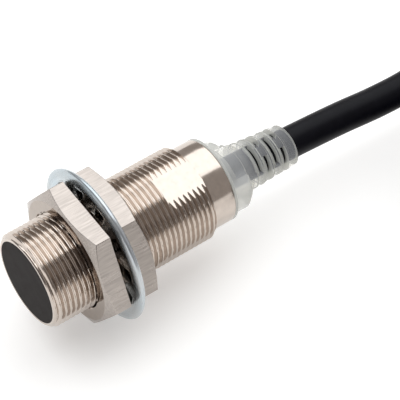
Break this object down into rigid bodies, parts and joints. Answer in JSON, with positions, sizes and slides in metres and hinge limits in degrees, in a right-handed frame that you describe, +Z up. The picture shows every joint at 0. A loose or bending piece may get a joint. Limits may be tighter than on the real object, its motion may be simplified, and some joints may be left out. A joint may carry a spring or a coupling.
{
  "type": "proximity sensor",
  "caption": "Cylindrical inductive proximity sensor with fine-threaded metal barrel, clamping nuts, toothed washer, strain relief and coiled lead.",
  "frame": {"origin": "centre of the flat sensing face at the barrel's front end", "axes": "+X along the barrel from the sensing face towards the lead, +Z up, the barrel lying level"},
  "size_m": [0.1552, 0.1008, 0.0292],
  "materials": {
    "nickel_barrel": "satin nickel plate over brass",
    "nickel_front_nut": "satin nickel plate over brass, milled sides",
    "nickel_rear_nut": "satin nickel plate over brass, milled sides",
    "zinc_washer": "bright zinc plate, bluish",
    "face_plastic": "matte charcoal",
    "copper_shield": "bare copper",
    "ferrite": "matte ferrite",
    "bobbin_plastic": "matte",
    "copper_wire": "enamelled copper",
    "holder_plastic": "matte",
    "board": "solder resist",
    "chip_black": "moulded",
    "diode_glass": "glass body",
    "ceramic": "ceramic",
    "resistor_ceramic": "ceramic",
    "led_lens": "clear amber lens",
    "resin": "cast resin",
    "wire_brown": "PVC",
    "wire_blue": "PVC",
    "wire_black": "PVC",
    "boot_translucent": "milky translucent, satin",
    "lead_sheath": "satin PVC",
    "tie_nylon": "natural nylon",
    "tinned_copper": "tinned"
  },
  "bodies": {
    "housing": {"barrel": "nickel_barrel", "sensing_cap": "face_plastic", "shield_ring": "copper_shield", "ferrite_core": "ferrite", "coil_bobbin": "bobbin_plastic", "coil_winding": "copper_wire", "coil_leads": "copper_wire", "core_holder": "holder_plastic", "circuit_board": "board", "sensor_ic": "chip_black", "output_transistor": "chip_black", "surge_diode": "diode_glass", "chip_capacitors": "ceramic", "chip_resistors": "resistor_ceramic", "indicator_leds": "led_lens", "resin_plug": "resin", "inner_wire_brown": "wire_brown", "inner_wire_blue": "wire_blue", "inner_wire_black": "wire_black", "cable_boot": "boot_translucent", "lead_stub": "lead_sheath", "lead_run": "lead_sheath", "lead_coil": "lead_sheath", "lead_tail": "lead_sheath", "coil_tie": "tie_nylon", "end_wire_brown": "wire_brown", "end_wire_blue": "wire_blue", "end_wire_black": "wire_black", "tinned_tips": "tinned_copper"},
    "washer": {"toothed_washer": "zinc_washer"},
    "rear_nut": {"rear_nut": "nickel_rear_nut"},
    "front_nut": {"front_nut": "nickel_front_nut"}
  },
  "joints": [
    {"name": "washer_slide", "type": "slide", "parent": "housing", "child": "washer", "axis": [1, 0, 0], "range_m": [-0.0013, 0.015]},
    {"name": "rear_nut_turn", "type": "hinge", "parent": "washer", "child": "rear_nut", "pos_m": [0.0166, 0, 0], "axis": [1, 0, 0], "range_deg": [-450, 5400]},
    {"name": "front_nut_turn", "type": "hinge", "parent": "housing", "child": "front_nut", "pos_m": [0.01, 0, 0], "axis": [1, 0, 0], "continuous": true}
  ],
  "couplings": [
    {"joint": "washer_slide", "follows": "rear_nut_turn", "m_per_rad": 0.00015915}
  ]
}
